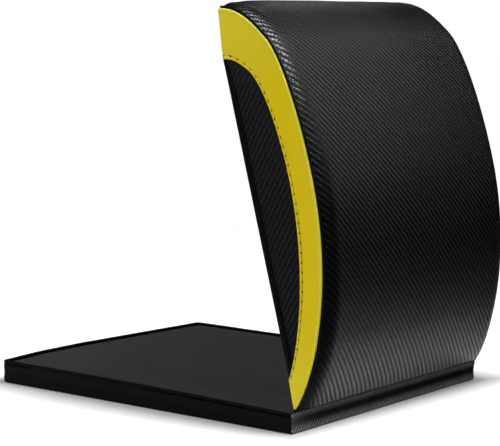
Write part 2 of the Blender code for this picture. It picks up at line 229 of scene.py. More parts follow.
# The camera, and each lamp's azimuth, elevation, distance, size, level, spread and aim, in degrees
# and metres. A lamp without an aim lights the middle
CAMERA_AT = (-1.35829, -1.09113, 0.36334)
CAMERA_WAY = (-51.5877, 6.6533)
CAMERA_LENS = 126.8
LIT_MIDDLE = (0.0, -0.08, 0.18)
FACE_LIGHT_AIM = (-0.14, -0.24, 0.30)
EDGE_LIGHT_AIM = (-0.14, -0.22, 0.33)
SOFTBOXES = {
    "key": (-88, 26, 1.9, 0.9, 1.36, 70),
    "left_back": (-150, 40, 1.9, 0.9, 0.7, 70),
    "front_low": (68, 17, 0.9, 0.36, 0.34, 50, FACE_LIGHT_AIM),
    "front_high": (76, 37, 0.87, 0.36, 0.75, 50, FACE_LIGHT_AIM),
    "above": (-10, 68, 1.9, 0.8, 2.2, 70),
    "edge": (24, 57, 0.9, 0.42, 1.6, 30, EDGE_LIGHT_AIM),
    "right": (100, 58, 1.9, 0.8, 0.22, 70),
    "back_low": (122, 24, 1.9, 0.32, 0.18, 70),
}
WORLD_LEVEL = 0.04

# The stage
FLOOR_LEVEL = 0.4
# Painted shadow: the floor's glow is dimmed at the mat's foot, over these reaches
SHADOWED_FOOT_GLOW = 0.04
NEAR_GLOW = 0.85
PAINTED_SHADOW_REACH = (0.004, 0.044)
SIDE_SHARE = 0.75
FAR_REACH = (0.3, 1.0)
MIRRORED_SHADOW_REACH = (0.0, 0.008)
MIRROR_TOP = (0.6, 0.61)
FRONT_WAY = (0.5, -0.866, 0.0)
BEHIND_FADE = (0.27, 0.4)
FLOOR_REACH = 20.0
WALL_HEIGHT = 12.0
RING_SIDES = 64

# How meshes are made, and the angles in degrees above which their edges stay sharp
BOW_STEPS = 80
CLOTH_UV = "cloth"
SOLID_SHARP = 50
TUBE_SHARP = 60
THREAD_SHARP = 70
THREAD_AROUND = 8


# Numbers along curves and across surfaces


def stacked(*parts):
    """Grids of coordinates as one grid of points."""
    return np.stack(parts, axis=-1)


def circle(around):
    """This many even angles round a circle."""
    return np.linspace(0, 2 * math.pi, around, endpoint=False)


def walk_along(path):
    """The distance walked along a path, at each of its points."""
    steps = np.linalg.norm(np.diff(path, axis=0), axis=1)
    return np.concatenate([[0.0], np.cumsum(steps)])


def tangents_of(path):
    """A direction of length 1 along a path, at each of its points."""
    tangents = np.gradient(path, axis=0)
    return tangents / np.linalg.norm(tangents, axis=1)[:, None]


def smoothed(rows):
    """The same rows, each inner one drawn towards its two neighbours."""
    inner = (rows[:-2] + 2 * rows[1:-1] + rows[2:]) / 4
    return np.concatenate([rows[:1], inner, rows[-1:]])


def to_edges(count):
    """Shares from -1 to 1 that lie closer together towards both ends."""
    return np.sin(np.linspace(-math.pi / 2, math.pi / 2, count))


def ramp(value, start, reach):
    """0 up to start, then straight up to 1 over this reach. A negative reach falls off instead."""
    return np.clip((value - start) / reach, 0, 1)


def ripple(points, size, seed):
    """Smooth noise from -1 to 1 at each point, with features of about this size."""
    where = points.reshape(-1, points.shape[-1]) / size + seed
    if where.shape[1] == 2:
        where = np.column_stack([where, np.full(len(where), seed)])
    values = [noise.noise(Vector(p)) for p in where]
    return np.array(values).reshape(points.shape[:-1])


def wave(points, height, size, seed):
    return height * ripple(points, size, seed)


def puckers(walk, flat, pitch, wander, size, seed):
    """Rows of small folds from -1 to 1, this far apart along a seam, which wander a little."""
    return np.sin(walk * 2 * math.pi / pitch + wander * ripple(flat, size, seed))


def bump_at(distance, radius):
    """A round bump, 1 at its middle and fading to nothing at about twice this radius."""
    return np.exp(-((distance / radius) ** 2))


def swell(distance, height, middle, radius):
    """A round bump of this height, at this distance from an edge."""
    return height * bump_at(distance - middle, radius)


def dent(x, walk, depth, middle, reach):
    across, along = (x - middle[0]) / reach[0], (walk - middle[1]) / reach[1]
    return depth * np.exp(-(across**2) - along**2)


class Bow:
    """A smooth open curve in the arch's side plane, walked by its length in metres."""

    def __init__(self, start, length, rise, shares):
        knots = [Vector((start + along * length, up * rise, 0.0)) for along, up in shares]
        points = [knots[0]]
        for first in range(0, len(knots) - 1, 3):
            points += geometry.interpolate_bezier(*knots[first : first + 4], BOW_STEPS)[1:]
        self.points = np.array([point.to_2d() for point in points])
        self.walk = walk_along(self.points)
        self.length = self.walk[-1]
        tangents = tangents_of(self.points)
        self.normals = np.stack([-tangents[:, 1], tangents[:, 0]], axis=1)
        self.crest = int(self.points[:, 1].argmax())

    def at(self, walk, stand=0.0):
        """(along, up) at these walks, standing this far out from the curve."""
        along, up = (np.interp(walk, self.walk, self.points[:, i]) for i in (0, 1))
        out_along, out_up = (np.interp(walk, self.walk, self.normals[:, i]) for i in (0, 1))
        return along + stand * out_along, up + stand * out_up

    def rising(self, height):
        """The walk where the curve first reaches this height."""
        return float(np.interp(height, self.points[: self.crest, 1], self.walk[: self.crest]))

    def falling(self, height):
        """The walk where the curve last passes this height."""
        heights, walk = self.points[self.crest :, 1], self.walk[self.crest :]
        return float(np.interp(height, heights[::-1], walk[::-1]))


FACE_BOW = Bow(0.0, ARCH_LENGTH, ARCH_RISE, FACE_BOW_SHARES)
WINDOW_BOW = Bow(
    BAND_FOOT, ARCH_LENGTH - BAND_FOOT - BAND_TIP, ARCH_RISE - BAND_WIDTH, WINDOW_BOW_SHARES
)


def in_arch(x, along, up):
    """Points of the arch's own frame, as an array of points of the part's frame."""
    x, along, up = np.broadcast_arrays(x, along, up)
    flare = np.where(x > 0, RIGHT_FLARE, LEFT_FLARE)
    x = x * (1 + flare * ramp(along, FLARE_REACH, -FLARE_REACH) ** 2)
    out, lift = ARCH_SETBACK + along, BASE_STEP + up
    y = AXIS_Y + out * math.cos(FOLD_ANGLE) - lift * math.sin(FOLD_ANGLE)
    z = AXIS_Z + out * math.sin(FOLD_ANGLE) + lift * math.cos(FOLD_ANGLE)
    return stacked(x, y, z)


# Mesh making


def make_object(name, mesh, material):
    mesh.materials.append(material)
    item = bpy.data.objects.new(name, mesh)
    bpy.context.scene.collection.objects.link(item)
    return item


def build(name, material, points, faces, uv, sharp):
    """A mesh object with its cloth coordinates in metres and its shading."""
    mesh = bpy.data.meshes.new(name)
    mesh.from_pydata(points.reshape(-1, 3).tolist(), [], faces)
    tidy = bmesh.new()
    tidy.from_mesh(mesh)
    bmesh.ops.recalc_face_normals(tidy, faces=tidy.faces)
    tidy.to_mesh(mesh)
    tidy.free()
    corners = np.empty(len(mesh.loops), np.int32)
    mesh.loops.foreach_get("vertex_index", corners)
    layer = mesh.uv_layers.new(name=CLOTH_UV)
    layer.data.foreach_set("uv", uv.reshape(-1, 2)[corners].astype(np.float32).ravel())
    mesh.shade_smooth()
    mesh.set_sharp_from_angle(angle=math.radians(sharp))
    return make_object(name, mesh, material)


def add_shares(item, name, values):
    """A number at each point of a solid, the same on its front and its back."""
    attribute = item.data.attributes.new(name, "FLOAT", "POINT")
    attribute.data.foreach_set("value", np.tile(values.ravel(), 2).astype(np.float32))


def grid_quads(index):
    return np.stack(
        [index[:-1, :-1], index[:-1, 1:], index[1:, 1:], index[1:, :-1]], axis=-1
    ).reshape(-1, 4)


def solid(name, material, front, back, uv):
    """A closed piece between two grids of points of the same shape."""
    rows, columns = front.shape[:2]
    count = rows * columns
    index = np.arange(count).reshape(rows, columns)
    rim = np.concatenate([index[0, :-1], index[:-1, -1], index[-1, :0:-1], index[:0:-1, 0]])
    after = np.roll(rim, -1)
    sides = stacked(after, rim, rim + count, after + count)
    faces = np.concatenate([grid_quads(index), grid_quads(index)[:, ::-1] + count, sides])
    points = np.concatenate([front, back])
    return build(name, material, points, faces.tolist(), np.concatenate([uv, uv]), SOLID_SHARP)


def tube_faces(index):
    """The faces of a closed tube, whose point numbers are a grid of rings."""
    wrapped = np.concatenate([index, index[:, :1]], axis=1)
    return grid_quads(wrapped).tolist() + [index[0][::-1].tolist(), index[-1].tolist()]


def tube_rings(path, side, radius, around):
    """Rings of points round a path, with a radius for each point. side is a way across it."""
    tangents = tangents_of(path)
    side = side - tangents * np.sum(side * tangents, axis=1)[:, None]
    side = side / np.linalg.norm(side, axis=1)[:, None]
    other = np.cross(tangents, side)
    angles = circle(around)
    spread = side[:, None] * np.cos(angles)[None, :, None]
    spread = spread + other[:, None] * np.sin(angles)[None, :, None]
    return path[:, None] + spread * radius[..., None]


def tube(name, material, path, side, radius, around):
    """A closed tube round a path, with its two ends filled."""
    rings = tube_rings(path, side, radius, around)
    girth = circle(around) * np.mean(radius)
    uv = stacked(*np.meshgrid(walk_along(path), girth, indexing="ij"))
    faces = tube_faces(np.arange(len(path) * around).reshape(-1, around))
    return build(name, material, rings, faces, uv, TUBE_SHARP)


def thread(name, material, stitches):
    """Stitches as one mesh: each an arc of thread between two points, lifted along its normal."""
    shares = np.array([0.0, 0.06, 0.2, 0.5, 0.8, 0.94, 1.0])
    arcs = np.array([-0.9, -0.1, 0.75, 1.0, 0.75, -0.1, -0.9])
    widths = np.array([0.55, 0.85, 1.0, 1.0, 1.0, 0.85, 0.55])
    girth = np.linspace(0, 1, THREAD_AROUND, endpoint=False) * STITCH_RADIUS * 6
    radii = np.repeat(widths[:, None] * STITCH_RADIUS, THREAD_AROUND, axis=1)
    each = len(shares) * THREAD_AROUND
    points, faces, uvs = [], [], []
    for number, (start, end, normal) in enumerate(stitches):
        path = start + (end - start) * shares[:, None] + normal * (arcs * STITCH_LIFT)[:, None]
        rings = tube_rings(path, np.cross(end - start, normal), radii, THREAD_AROUND)
        faces += tube_faces(np.arange(each).reshape(-1, THREAD_AROUND) + number * each)
        walk = shares * np.linalg.norm(end - start)
        uvs.append(stacked(*np.meshgrid(walk, girth, indexing="ij")))
        points.append(rings)
    return build(name, material, np.array(points), faces, np.array(uvs), THREAD_SHARP)


def dress(item, body, slot, *nodes):
    """Place a piece on its body and hide the CAD nodes that it stands for; its finish is not used.
    """
    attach(item, body)
    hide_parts(*nodes)


# Materials


class Nodes:
    """A short way to write a material's node tree."""

    def __init__(self, name):
        self.material = bpy.data.materials.new(name)
        self.material.use_nodes = True
        self.tree = self.material.node_tree
        self.shader = self.tree.nodes["Principled BSDF"]

    def add(self, kind, settings=None, **inputs):
        node = self.tree.nodes.new(kind)
        for key, value in (settings or {}).items():
            setattr(node, key, value)
        for key, value in inputs.items():
            self.put(node.inputs[key.replace("_", " ")], value)
        return node

    def put(self, socket, value):
        if isinstance(value, bpy.types.NodeSocket):
            self.tree.links.new(value, socket)
        else:
            socket.default_value = value

    def math(self, operation, first, second=0.0):
        node = self.tree.nodes.new("ShaderNodeMath")
        node.operation = operation
        self.put(node.inputs[0], first)
        self.put(node.inputs[1], second)
        return node.outputs[0]

    def times(self, first, second):
        return self.math("MULTIPLY", first, second)

    def sine(self, value, pitch):
        """A sine wave of this pitch."""
        return self.math("SINE", self.times(value, 2 * math.pi / pitch))

    def mix(self, share, first, second):
        """A colour or number between two, by this share."""
        is_colour = isinstance(first, tuple) or getattr(first, "type", "") == "RGBA"
        node = self.tree.nodes.new("ShaderNodeMix")
        node.data_type = "RGBA" if is_colour else "FLOAT"
        sockets = [s for s in node.inputs if s.enabled]
        self.put(sockets[0], share)
        self.put(sockets[1], first)
        self.put(sockets[2], second)
        return next(s for s in node.outputs if s.enabled)

    def span(self, value, low, high, to_low=0.0, to_high=1.0):
        """value, moved from one range to another and held inside it."""
        node = self.add("ShaderNodeMapRange")
        for socket, given in zip(node.inputs, (value, low, high, to_low, to_high)):
            self.put(socket, given)
        return node.outputs[0]

    def vary(self, patches, low, high):
        """A number that follows noise from low to high, over the noise's usual range."""
        return self.span(patches, 0.3, 0.7, low, high)

    def uv(self):
        return self.add("ShaderNodeUVMap", {"uv_map": CLOTH_UV}).outputs[0]

    def split(self, vector):
        return self.add("ShaderNodeSeparateXYZ", Vector=vector).outputs

    def share(self, name):
        return self.add("ShaderNodeAttribute", {"attribute_name": name}).outputs["Fac"]

    def noise(self, vector, size, detail=2.0):
        node = self.add("ShaderNodeTexNoise", Vector=vector, Scale=1 / size, Detail=detail)
        return node.outputs["Fac"]

    def bump(self, height, distance, under=None):
        node = self.add("ShaderNodeBump", Height=height, Distance=distance, Strength=1.0)
        if under is not None:
            self.put(node.inputs["Normal"], under)
        return node.outputs[0]

    def finish(self, colour, roughness, normal=None, **plain):
        self.put(self.shader.inputs["Base Color"], colour)
        self.put(self.shader.inputs["Roughness"], roughness)
        if normal is not None:
            self.put(self.shader.inputs["Normal"], normal)
        for key, value in plain.items():
            self.put(self.shader.inputs[key.replace("_", " ")], value)
        return self.material


def grey(level):
    return (level, level, level * 1.01, 1.0)


def woven_height(nodes, uv, cell):
    """The height of a two-over-two weave of flat strands, and which strand is on top."""
    along_cloth, across_cloth = nodes.split(uv)[:2]
    u = nodes.math("DIVIDE", along_cloth, cell)
    v = nodes.math("DIVIDE", across_cloth, cell)
    weft_walk = nodes.math("FLOORED_MODULO", nodes.math("ADD", u, nodes.math("FLOOR", v)), 4.0)
    on_top = nodes.math("LESS_THAN", weft_walk, 2.0)
    shifted = nodes.math("SUBTRACT", nodes.math("ADD", v, nodes.math("FLOOR", u)), 2.0)
    warp_walk = nodes.math("FLOORED_MODULO", shifted, 4.0)

    def hump(value, pitch, power):
        return nodes.math("POWER", nodes.math("MAXIMUM", nodes.sine(value, pitch), 0.0), power)

    def strand(walk, across):
        return nodes.times(hump(walk, 4, 0.4), hump(nodes.math("FRACT", across), 2, 0.5))

    slope = nodes.times(nodes.math("FRACT", u), 1.2)
    under = nodes.math("SUBTRACT", nodes.times(strand(warp_walk, u), 0.5), slope)
    height = nodes.mix(on_top, under, strand(weft_walk, v))
    return height, on_top


def make_woven_vinyl():
    """Black vinyl embossed like woven carbon: dull dips, a painted highlight beside the left band
    and a painted sheen near the crease.
    """
    cell, patch_size, speck_size, grain_size = 0.00167, 0.05, 0.0016, 0.0006
    nodes = Nodes("embossed_vinyl")
    uv = nodes.uv()
    height, on_top = woven_height(nodes, uv, cell)
    patches = nodes.noise(uv, patch_size, 3.0)
    low = nodes.mix(patches, grey(0.0006), grey(0.001))
    high = nodes.mix(patches, grey(0.0012), grey(0.0018))
    speck = nodes.span(nodes.noise(uv, speck_size), 0.4, 0.6)
    # Painted highlight: speckled pale ridges beside the left band. Painted sheen: paler ridges
    # towards the crease
    high = nodes.mix(nodes.times(nodes.share("painted_highlight"), speck), high, grey(PAINTED_HIGHLIGHT_LEVEL))
    high = nodes.mix(nodes.share("pale"), high, grey(PAINTED_SHEEN_LEVEL))
    colour = nodes.mix(on_top, low, high)
    ridge_rough = nodes.vary(patches, 0.17, 0.22)
    rough = nodes.mix(on_top, nodes.math("ADD", ridge_rough, 0.25), ridge_rough)
    normal = nodes.bump(height, 0.00035)
    normal = nodes.bump(nodes.noise(uv, grain_size, 3.0), 0.00001, normal)
    polish = nodes.math("SUBTRACT", 1.0, nodes.share("dull"))
    gloss = nodes.times(nodes.mix(on_top, 0.055, 0.09), polish)
    return nodes.finish(colour, rough, normal, Specular_IOR_Level=gloss)


def make_wall_vinyl():
    """The same vinyl stretched over the pad's end: finer and dull, with a painted sheen at its foot
    that is paler and also glossier.
    """
    cell, patch_size = 0.0011, 0.02
    nodes = Nodes("embossed_wall_vinyl")
    uv = nodes.uv()
    height, on_top = woven_height(nodes, uv, cell)
    patches = nodes.noise(uv, patch_size, 3.0)
    painted_wall_sheen = nodes.share("painted_wall_sheen")
    # Painted sheen: paler ridges at the wall's foot, top and left end, which also get more gloss
    high = nodes.mix(painted_wall_sheen, grey(0.022), grey(0.20))
    high = nodes.mix(nodes.span(patches, 0.35, 0.65, 0.0, 0.3), high, grey(0.006))
    low = nodes.mix(0.75, high, grey(0.001))
    colour = nodes.mix(on_top, low, high)
    rough = nodes.mix(on_top, 0.55, nodes.vary(patches, 0.34, 0.42))
    gloss = nodes.mix(on_top, 0.0, nodes.times(painted_wall_sheen, 0.12))
    return nodes.finish(colour, rough, nodes.bump(height, 0.00012), Specular_IOR_Level=gloss)


def make_plain_vinyl():
    """Smooth black vinyl with a fine grain, for the binding, piping, walls and hems."""
    patch_size, grain_size = 0.02, 0.0008
    nodes = Nodes("plain_vinyl")
    uv = nodes.uv()
    patches = nodes.noise(uv, patch_size, 3.0)
    colour = nodes.mix(patches, grey(0.0008), grey(0.0018))
    rough = nodes.vary(patches, 0.34, 0.46)
    normal = nodes.bump(nodes.noise(uv, grain_size, 4.0), 0.00003)
    return nodes.finish(colour, rough, normal, Specular_IOR_Level=0.03)


def make_pad_cloth():
    """Dark grey cloth with a fine plain weave, with a painted sheen that makes it a little paler
    towards the fold.
    """
    yarn, patch_size, fluff_size = 0.0005, 0.06, 0.0012
    nodes = Nodes("pad_cloth")
    uv = nodes.uv()
    across, along = nodes.split(uv)[:2]
    weave = nodes.times(nodes.sine(across, yarn), nodes.sine(along, yarn))
    patches = nodes.noise(uv, patch_size, 4.0)
    fluff = nodes.noise(uv, fluff_size, 3.0)
    colour = nodes.mix(patches, grey(0.007), grey(0.011))
    colour = nodes.mix(nodes.vary(fluff, 0.0, 0.25), colour, grey(0.020))
    # Painted sheen: the cloth is paler towards the fold
    colour = nodes.mix(nodes.span(along, -0.19, 0.06, 0.8, 0.0), colour, grey(0.028))
    rough = nodes.vary(patches, 0.58, 0.70)
    normal = nodes.bump(weave, 0.00004)
    normal = nodes.bump(fluff, 0.00006, normal)
    sheen = {"Sheen_Weight": 0.04, "Sheen_Roughness": 0.5}
    return nodes.finish(colour, rough, normal, Specular_IOR_Level=0.2, **sheen)


def stitch_holes(nodes):
    """1 in the needle holes between stitches and 0 beyond them."""
    turns = nodes.math("DIVIDE", nodes.share("stitch_walk"), STITCH_PITCH)
    turns = nodes.math("FRACT", nodes.math("ADD", turns, 0.5))
    along = nodes.times(nodes.math("SUBTRACT", turns, 0.5), STITCH_PITCH / 1.3)
    squares = [nodes.math("POWER", way, 2.0) for way in (along, nodes.share("from_stitch"))]
    away = nodes.math("SQRT", nodes.math("ADD", *squares))
    return nodes.span(away, 0.0005, 0.0012, 1.0, 0.0)


def make_yellow_vinyl():
    """Yellow vinyl with a fine grain, with painted shade in its groove and beside its rim, a painted
    highlight along its rim and ends, and painted shade in its needle holes.
    """
    patch_size, grain_size = 0.022, 0.0007
    nodes = Nodes("yellow_vinyl_skin")
    uv = nodes.uv()
    patches = nodes.noise(uv, patch_size, 3.0)
    hole = stitch_holes(nodes)
    colour = nodes.mix(patches, (0.58, 0.43, 0.002, 1), (0.68, 0.53, 0.005, 1))
    # Painted shade: darker yellow in the stitched groove and beside the rim
    colour = nodes.mix(nodes.times(nodes.share("edge"), 0.55), colour, (0.36, 0.26, 0.006, 1))
    # Painted highlight: paler yellow along the rim and towards both ends
    colour = nodes.mix(nodes.times(nodes.share("rim"), 0.7), colour, (0.62, 0.57, 0.05, 1))
    # Painted shade: the needle holes are dark
    colour = nodes.mix(hole, colour, (0.03, 0.018, 0.002, 1))
    rough = nodes.vary(patches, 0.40, 0.52)
    normal = nodes.bump(nodes.noise(uv, grain_size, 4.0), 0.00004)
    normal = nodes.bump(hole, -0.0006, normal)
    return nodes.finish(colour, rough, normal, Specular_IOR_Level=0.14)


def make_thread():
    """Yellow thread, twisted, with a painted highlight on its crests and painted shade in its dips.
    """
    twist_pitch, fluff_size = 0.0006, 0.002
    nodes = Nodes("yellow_sewing_thread")
    uv = nodes.uv()
    along, around = nodes.split(uv)[:2]
    twist = nodes.sine(nodes.math("ADD", along, around), twist_pitch)
    twist = nodes.span(twist, -1.0, 1.0)
    # Painted highlight and shade: lighter on the twist's crests, darker in its dips
    colour = nodes.mix(twist, (0.42, 0.31, 0.01, 1), (0.60, 0.47, 0.02, 1))
    rough = nodes.vary(nodes.noise(uv, fluff_size), 0.55, 0.7)
    return nodes.finish(colour, rough, nodes.bump(twist, 0.00005))


woven_vinyl = make_woven_vinyl()
wall_vinyl = make_wall_vinyl()
plain_vinyl = make_plain_vinyl()
pad_cloth = make_pad_cloth()
yellow_vinyl = make_yellow_vinyl()
yellow_thread = make_thread()


# The arch's face


def base_height(along):
    """How high the arch's base lies: flat, then lifted in a straight ramp under the thin end."""
    return np.maximum(along - (ARCH_LENGTH - BAND_TIP), 0.0) * TIP_HEIGHT / BAND_TIP


def face_section():
    """Places across the face and its stands: bevelled on the left, rolled under on the right."""
    across = np.linspace(-BEVEL_START, ROLL_START, 75)
    crown = ROLL_MIDDLE + ROLL_HEIGHT + FACE_CROWN * (1 - (across / ROLL_START) ** 2)
    share = np.linspace(1, 0, 19)[:-1]
    bevel = -BEVEL_START - (FACE_HALF - BEVEL_START) * share
    slope = BEVEL_FOOT + (crown[0] - BEVEL_FOOT) * (1 - share**BEVEL_POWER)
    turn = ROLL_TURN * np.sin(np.linspace(0, math.pi / 2, 26))[1:]
    edge = ROLL_START + ROLL_ACROSS * np.sin(turn)
    fall = ROLL_MIDDLE + ROLL_HEIGHT * np.cos(turn)
    return np.concatenate([bevel, across, edge]), np.concatenate([slope, crown, fall])


def face_depth(walk):
    """The share of its full stand that the face has at this walk: less near the hinge."""
    return FOOT_DEPTH + (1 - FOOT_DEPTH) * (1 - (1 - walk / FACE_BOW.length) ** CROWN_END_POWER)


def face_detail(x, walk):
    """Shallow dents and puckers of the face, as extra stand."""
    flat = stacked(x, walk)
    from_seam = FACE_HALF - np.abs(x)
    inside = ramp(from_seam, 0, SEAM_BORDER) ** 2
    soft = sum(wave(flat, *layer) for layer in FACE_WAVES)
    pucker = puckers(walk, flat, *FACE_PUCKER) * swell(from_seam, *PUCKER_LINE)
    return inside * (soft - dent(x, walk, *CROWN_DENT)) + pucker - dent(x, walk, *CORNER_DENT)


def face_painted_highlight(x, walk):
    """How much painted highlight the face's ridges carry: a narrow line beside the left band, along
    the arch's shoulder.
    """
    return swell(x, *PAINTED_HIGHLIGHT_LINE) * ramp(walk, *HIGHLIGHT_WALK_UP) * ramp(walk, *HIGHLIGHT_WALK_DOWN)


def face_painted_sheen(x, walk):
    """How much painted sheen the face's ridges carry: more towards the crease and away from the left
    band.
    """
    return ramp(walk, *SHEEN_WALK) * ramp(x, *SHEEN_X)


def face_dull(x, walk):
    """How dull the face is: most beside the left band's lower half, a little round its middle."""
    edge = ramp(x, *DULL_EDGE_X) * ramp(walk, *DULL_EDGE_WALK)
    return np.maximum(DULL_EDGE_SHARE * edge, swell(walk, *DULL_MIDDLE))


def make_face():
    """The arch's cushion: a closed crowned form from side panel to side panel."""
    seat = COVER + GAP
    first = FACE_BOW.rising(FACE_FOOT)
    last = FACE_BOW.falling(TIP_HEIGHT + seat)
    xs, stands = face_section()
    x, walk = np.meshgrid(xs, np.linspace(first, last, 191))
    stand = stands[None] * face_depth(walk)
    along, up = FACE_BOW.at(walk, stand + face_detail(x, walk))
    start, end = (float(FACE_BOW.at(w)[0]) for w in (first, last))
    foot_along = start + (end - start) * (walk - first) / (last - first)
    foot_up = np.minimum(base_height(foot_along) + seat, up - LEAST_FACE)
    bottom = in_arch(np.clip(x, -FACE_HALF, FACE_HALF), foot_along, foot_up)
    uv = stacked(x, walk)
    face = solid("arch_face_cushion", woven_vinyl, in_arch(x, along, up), bottom, uv)
    # Shares of painted highlight and painted sheen on the ridges, and of duller gloss
    add_shares(face, "painted_highlight", face_painted_highlight(x, walk))
    add_shares(face, "pale", face_painted_sheen(x, walk))
    add_shares(face, "dull", face_dull(x, walk))
    dress(face, "arch", "woven_look_vinyl", "arch_face_cover", "arch_foam")


def make_face_piping(side, name):
    """Black piping between the face and a side band, slightly uneven where it is sewn."""
    around = 14
    start = FACE_BOW.rising(PIPING_FOOT)
    walk = np.linspace(start, FACE_BOW.length - PIPING_END, 260)
    thin = np.clip(0.5 + (walk - start) / 0.1, 0.5, 1) * np.clip((walk[-1] - walk) / 0.008, 0.4, 1)
    along, up = FACE_BOW.at(walk, PIPING_RADIUS * thin + GAP)
    path = in_arch(side * PIPING_MIDDLE, along, up)
    angles = circle(around)
    uneven = wave(path, 0.00012, 0.006, side)[:, None] * np.cos(angles)[None, :] ** 2
    radius = (PIPING_RADIUS - PIPING_SLIM + uneven) * thin[:, None]
    piping = tube("face_seam_piping_" + name, plain_vinyl, path, (1.0, 0.0, 0.0), radius, around)
    dress(piping, "arch", "smooth_vinyl", "face_piping_" + name)


# The arch's sides


def make_side_panel(side, name):
    """The D-shaped panel of embossed vinyl, bulging a little in the band's window."""
    top_along, top_up = FACE_BOW.at(np.linspace(0, FACE_BOW.length, 150), -PANEL_INSET)
    top_along = np.clip(top_along, 0.0, ARCH_LENGTH - PANEL_INSET)
    foot = base_height(top_along)
    share = np.linspace(0, 1, 24)[:, None]
    along = np.broadcast_to(top_along, (len(share), len(top_along)))
    up = foot + np.maximum(top_up - foot, LEAST_PANEL) * share
    flat = stacked(along, up)
    window = np.interp(along, WINDOW_BOW.points[:, 0], WINDOW_BOW.points[:, 1], 0, 0)
    depth = np.clip(np.minimum(window - up, up), 0, 0.02)
    bulge = PANEL_BULGE * (1 - np.exp(-depth / BULGE_REACH))
    bulge = bulge + wave(flat, *PANEL_WAVE) * ramp(depth, 0, 0.006)
    front = in_arch(side * (PANEL_MIDDLE + COVER / 2 + bulge), along, up)
    back = in_arch(side * (PANEL_MIDDLE - COVER / 2), along, up)
    cloth = flat * np.array([1.0, -1.0])
    panel = solid("side_panel_skin_" + name, woven_vinyl, front, back, cloth)
    dress(panel, "arch", "woven_look_vinyl", "arch_side_panel_" + name)


def band_reach(width):
    """Rows across the band by their distance from its outer edge, closer together at both edges."""
    outer, inner = np.array(BAND_OUTER_ROWS)[:, None], np.array(BAND_INNER_ROWS)[:, None]
    middle = np.linspace(0, 1, 12)[1:-1, None]
    between = outer[-1] + (width - outer[-1] - inner[0]) * middle
    return np.concatenate([outer * np.ones(len(width)), between, width - inner])


def band_relief(flat, walk, reach, inward, width):
    """How proud the band's skin is: rolled rim, folded edge, stitched groove and puckers."""
    rim = swell(reach, *BAND_RIM) + swell(inward, *BAND_FOLD) + swell(inward, *BAND_GROOVE)
    crown = BAND_CROWN * np.sin(math.pi * ramp(reach, 0, width))
    near_seams = bump_at(reach - 0.001, 0.003) + bump_at(inward - 0.003, 0.003)
    pucker = 0.00014 * puckers(walk, flat, *BAND_PUCKER) * near_seams
    soft = wave(flat, *BAND_WAVE) * ramp(np.minimum(reach, inward), 0, 0.004)
    round_off = -BAND_ROUND_OFF * (bump_at(reach, 0.0004) + bump_at(inward, 0.0004))
    return rim + crown + pucker + soft + round_off


def make_side_band(side, name):
    """The yellow band along the arch's bow, round the side panel's window."""
    share = np.linspace(0, 1, 420)
    outer = stacked(*FACE_BOW.at(share * FACE_BOW.length))
    inner = stacked(*WINDOW_BOW.at(share * WINDOW_BOW.length))
    width = np.linalg.norm(inner - outer, axis=1)
    reach = band_reach(width)
    inward = width - reach
    flat = outer[None] + (inner - outer)[None] * (reach / width)[..., None]
    walk = np.broadcast_to(share * FACE_BOW.length, reach.shape)
    relief = band_relief(flat, walk, reach, inward, width)
    front = in_arch(side * (BAND_FRONT + relief), flat[..., 0], flat[..., 1])
    back = in_arch(side * BAND_BACK, flat[..., 0], flat[..., 1])
    uv = stacked(walk, reach)
    band = solid("yellow_band_" + name, yellow_vinyl, front, back, uv)
    inner_walk = np.broadcast_to(share * WINDOW_BOW.length, reach.shape)
    # Painted highlight at both ends and along the rim, and painted shade in the groove and beside
    # the rim
    ends = ramp(walk, *HIGHLIGHT_FOOT)
    ends = ends + ramp(walk, FACE_BOW.length - HIGHLIGHT_TIP_REACH, HIGHLIGHT_TIP_REACH)
    add_shares(band, "stitch_walk", inner_walk - first_stitch()[0])
    add_shares(band, "from_stitch", inward - STITCH_MARGIN)
    add_shares(band, "edge", swell(inward, *GROOVE_SHADE) + swell(reach, *RIM_SHADE))
    add_shares(band, "rim", np.maximum(swell(reach, *RIM_PAINTED_HIGHLIGHT), ENDS_PAINTED_HIGHLIGHT * ends))
    dress(band, "arch", "yellow_vinyl", "side_band_" + name)


def first_stitch():
    """Where a band's row of stitches starts on the window's bow, and how many there are."""
    first = WINDOW_BOW.rising(STITCH_MARGIN)
    last = WINDOW_BOW.falling(STITCH_MARGIN)
    return first, int((last - first) / STITCH_PITCH)


def make_band_stitches(side, name):
    """The row of topstitches in the band's groove."""
    first, count = first_stitch()
    normal = np.array([side, 0.0, 0.0])
    stitches = []
    for start in first + np.arange(count) * STITCH_PITCH:
        walks = (start + STITCH_GAP / 2, start + STITCH_PITCH - STITCH_GAP / 2)
        ends = [in_arch(side * BAND_FRONT, *WINDOW_BOW.at(w, STITCH_MARGIN)) for w in walks]
        stitches.append((*ends, normal))
    item = thread("band_topstitch_" + name, yellow_thread, stitches)
    dress(item, "arch", "yellow_thread", "band_stitching_" + name)


